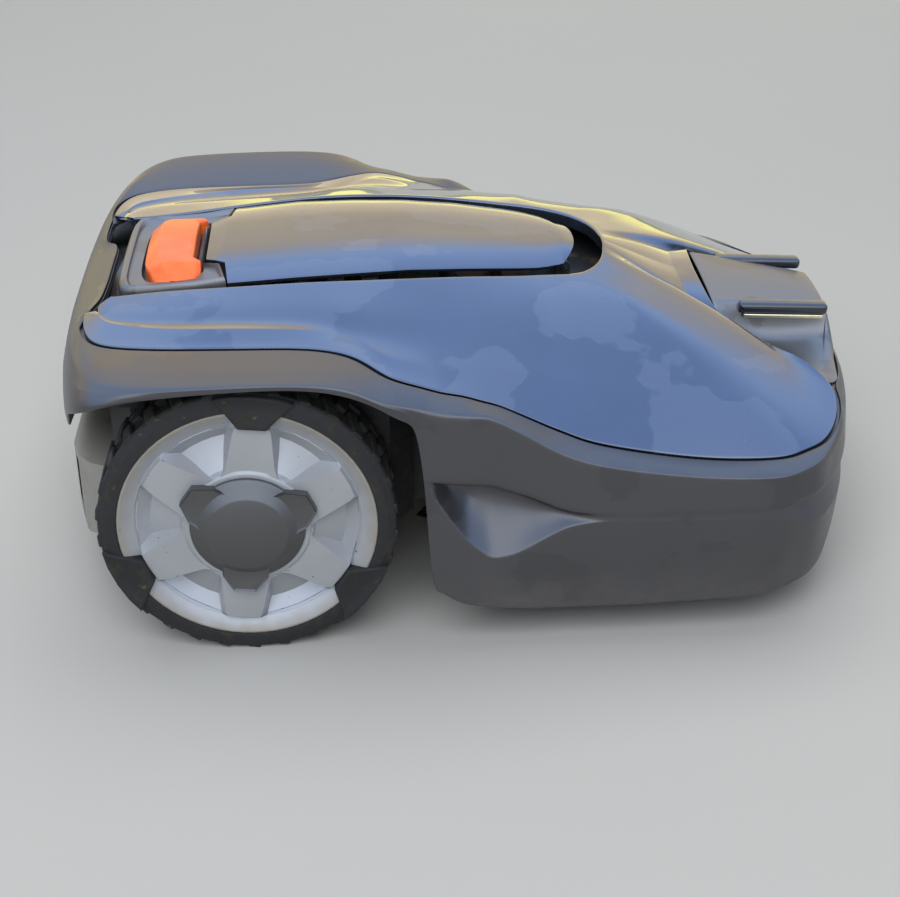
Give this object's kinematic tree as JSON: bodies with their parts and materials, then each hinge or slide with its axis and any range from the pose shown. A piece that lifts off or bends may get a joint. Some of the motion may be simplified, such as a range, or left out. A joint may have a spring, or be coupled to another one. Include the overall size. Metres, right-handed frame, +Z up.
{
  "type": "robotic lawn mower",
  "caption": "Low robotic lawn mower: a floating gloss and matte shell over a driven chassis with ribbed rear wheels, front casters, hatch, stop button and bladed disc.",
  "frame": {"origin": "on the ground under the middle of the shell, midway along its length and width", "axes": "+X towards the front nose with the charging rails, +Y towards the mower's left, +Z up"},
  "size_m": [0.57, 0.43, 0.2277],
  "materials": {
    "shell_matte": "satin moulded shell",
    "cover_gloss": "high gloss cover",
    "nose_grey": "matte grained",
    "rail_black": "gloss",
    "contact_brass": "brushed",
    "chassis_dark": "grained",
    "tail_grey": "grained",
    "seal_rubber": "matte",
    "steel": "brushed",
    "console_grey": "satin",
    "stop_orange": "satin",
    "key_grey": "soft touch",
    "display_glass": "clear",
    "board_green": "lacquered",
    "battery_blue": "wrapped",
    "motor_metal": "cast",
    "blade_steel": "ground edge",
    "rim_silver": "satin grained",
    "tyre_black": "dusty rubber",
    "cap_dark": "fine grain"
  },
  "bodies": {
    "chassis": {"chassis_tub": "chassis_dark", "chassis_lid": "chassis_dark", "chassis_seal": "seal_rubber", "chassis_screws": "steel", "chassis_tail": "tail_grey", "console_housing": "console_grey", "stop_spring": "steel", "hinge_pin": "steel", "keypad_panel": "chassis_dark", "display_module": "board_green", "display_window": "display_glass", "battery_pack": "battery_blue", "battery_hatch": "chassis_dark", "main_board": "board_green", "gearmotor_left": "motor_metal", "gearmotor_right": "motor_metal"},
    "float_slider": {"float_sliders": "chassis_dark"},
    "float_cup": {"float_cups": "seal_rubber"},
    "shell": {"body_shell": "shell_matte", "top_cover": "cover_gloss", "nose_block": "nose_grey", "contact_rail_left": "rail_black", "contact_rail_right": "rail_black", "contact_strip_left": "contact_brass", "contact_strip_right": "contact_brass", "shell_studs": "chassis_dark"},
    "hatch": {"hatch": "cover_gloss", "hatch_bracket": "chassis_dark"},
    "stop_button": {"stop_button": "stop_orange"},
    "height_knob": {"height_knob": "cap_dark"},
    "cutter": {"cutter_drum": "chassis_dark", "cutter_motor": "motor_metal", "lift_post": "motor_metal"},
    "blade_disc": {"blade_disc": "chassis_dark", "blade_screws": "steel"},
    "blade_1": {"blade_1": "blade_steel"},
    "blade_2": {"blade_2": "blade_steel"},
    "blade_3": {"blade_3": "blade_steel"},
    "skid_plate": {"skid_plate": "chassis_dark"},
    "wheel_left": {"rim_left": "rim_silver", "tyre_left": "tyre_black", "hub_cap_left": "cap_dark"},
    "wheel_right": {"rim_right": "rim_silver", "tyre_right": "tyre_black", "hub_cap_right": "cap_dark"},
    "caster_left": {"caster_fork_left": "chassis_dark"},
    "caster_right": {"caster_fork_right": "chassis_dark"},
    "caster_wheel_left": {"caster_wheel_left": "tyre_black"},
    "caster_wheel_right": {"caster_wheel_right": "tyre_black"},
    "key_power": {"key_power": "key_grey"},
    "key_start": {"key_start": "key_grey"},
    "key_park": {"key_park": "key_grey"},
    "key_up": {"key_up": "key_grey"},
    "key_down": {"key_down": "key_grey"},
    "key_back": {"key_back": "key_grey"},
    "key_ok": {"key_ok": "key_grey"},
    "key_menu": {"key_menu": "key_grey"}
  },
  "joints": [
    {"name": "shell_fore_aft", "type": "slide", "parent": "chassis", "child": "float_slider", "axis": [1, 0, 0], "range_m": [-0.006, 0.006], "stiffness_N_per_m": 1500},
    {"name": "shell_sideways", "type": "slide", "parent": "float_slider", "child": "float_cup", "axis": [0, 1, 0], "range_m": [-0.0035, 0.0035], "stiffness_N_per_m": 1500},
    {"name": "shell_lift", "type": "slide", "parent": "float_cup", "child": "shell", "axis": [0, 0, 1], "range_m": [0, 0.008]},
    {"name": "hatch_hinge", "type": "hinge", "parent": "chassis", "child": "hatch", "pos_m": [0.074, 0, 0.203], "axis": [0, 1, 0], "range_deg": [0, 75]},
    {"name": "stop_press", "type": "slide", "parent": "chassis", "child": "stop_button", "axis": [0, 0, 1], "range_m": [-0.004, 0], "stiffness_N_per_m": 900, "springref_m": 0.002, "deforming": ["stop_spring"]},
    {"name": "key_power_press", "type": "slide", "parent": "chassis", "child": "key_power", "axis": [0, 0, 1], "range_m": [-0.001, 0], "stiffness_N_per_m": 600, "springref_m": 0.0006},
    {"name": "key_start_press", "type": "slide", "parent": "chassis", "child": "key_start", "axis": [0, 0, 1], "range_m": [-0.001, 0], "stiffness_N_per_m": 600, "springref_m": 0.0006},
    {"name": "key_park_press", "type": "slide", "parent": "chassis", "child": "key_park", "axis": [0, 0, 1], "range_m": [-0.001, 0], "stiffness_N_per_m": 600, "springref_m": 0.0006},
    {"name": "key_up_press", "type": "slide", "parent": "chassis", "child": "key_up", "axis": [0, 0, 1], "range_m": [-0.001, 0], "stiffness_N_per_m": 600, "springref_m": 0.0006},
    {"name": "key_down_press", "type": "slide", "parent": "chassis", "child": "key_down", "axis": [0, 0, 1], "range_m": [-0.001, 0], "stiffness_N_per_m": 600, "springref_m": 0.0006},
    {"name": "key_back_press", "type": "slide", "parent": "chassis", "child": "key_back", "axis": [0, 0, 1], "range_m": [-0.001, 0], "stiffness_N_per_m": 600, "springref_m": 0.0006},
    {"name": "key_ok_press", "type": "slide", "parent": "chassis", "child": "key_ok", "axis": [0, 0, 1], "range_m": [-0.001, 0], "stiffness_N_per_m": 600, "springref_m": 0.0006},
    {"name": "key_menu_press", "type": "slide", "parent": "chassis", "child": "key_menu", "axis": [0, 0, 1], "range_m": [-0.001, 0], "stiffness_N_per_m": 600, "springref_m": 0.0006},
    {"name": "cutting_height", "type": "slide", "parent": "chassis", "child": "cutter", "axis": [0, 0, 1], "range_m": [-0.015, 0.015]},
    {"name": "knob_turn", "type": "hinge", "parent": "chassis", "child": "height_knob", "pos_m": [0.025, 0, 0.185], "axis": [0, 0, 1], "range_deg": [-150, 150]},
    {"name": "blade_spin", "type": "hinge", "parent": "cutter", "child": "blade_disc", "pos_m": [0.025, 0, 0.037], "axis": [0, 0, 1], "continuous": true},
    {"name": "blade_1_swing", "type": "hinge", "parent": "blade_disc", "child": "blade_1", "pos_m": [0.103, 0, 0.0335], "axis": [0, 0, 1], "range_deg": [-85, 85]},
    {"name": "blade_2_swing", "type": "hinge", "parent": "blade_disc", "child": "blade_2", "pos_m": [-0.014, 0.06755, 0.0335], "axis": [0, 0, 1], "range_deg": [-85, 85]},
    {"name": "blade_3_swing", "type": "hinge", "parent": "blade_disc", "child": "blade_3", "pos_m": [-0.014, -0.06755, 0.0335], "axis": [0, 0, 1], "range_deg": [-85, 85]},
    {"name": "skid_spin", "type": "hinge", "parent": "blade_disc", "child": "skid_plate", "pos_m": [0.025, 0, 0.027], "axis": [0, 0, 1], "continuous": true},
    {"name": "wheel_spin_left", "type": "hinge", "parent": "chassis", "child": "wheel_left", "pos_m": [-0.153, 0.18, 0.1], "axis": [0, 1, 0], "continuous": true},
    {"name": "wheel_spin_right", "type": "hinge", "parent": "chassis", "child": "wheel_right", "pos_m": [-0.153, -0.18, 0.1], "axis": [0, 1, 0], "continuous": true},
    {"name": "caster_swivel_left", "type": "hinge", "parent": "chassis", "child": "caster_left", "pos_m": [0.174, 0.155, 0.08], "axis": [0, 0, 1], "continuous": true},
    {"name": "caster_roll_left", "type": "hinge", "parent": "caster_left", "child": "caster_wheel_left", "pos_m": [0.159, 0.155, 0.03], "axis": [0, 1, 0], "continuous": true},
    {"name": "caster_swivel_right", "type": "hinge", "parent": "chassis", "child": "caster_right", "pos_m": [0.174, -0.155, 0.08], "axis": [0, 0, 1], "continuous": true},
    {"name": "caster_roll_right", "type": "hinge", "parent": "caster_right", "child": "caster_wheel_right", "pos_m": [0.159, -0.155, 0.03], "axis": [0, 1, 0], "continuous": true}
  ],
  "couplings": [
    {"joint": "knob_turn", "follows": "cutting_height", "rad_per_m": 174.5}
  ]
}
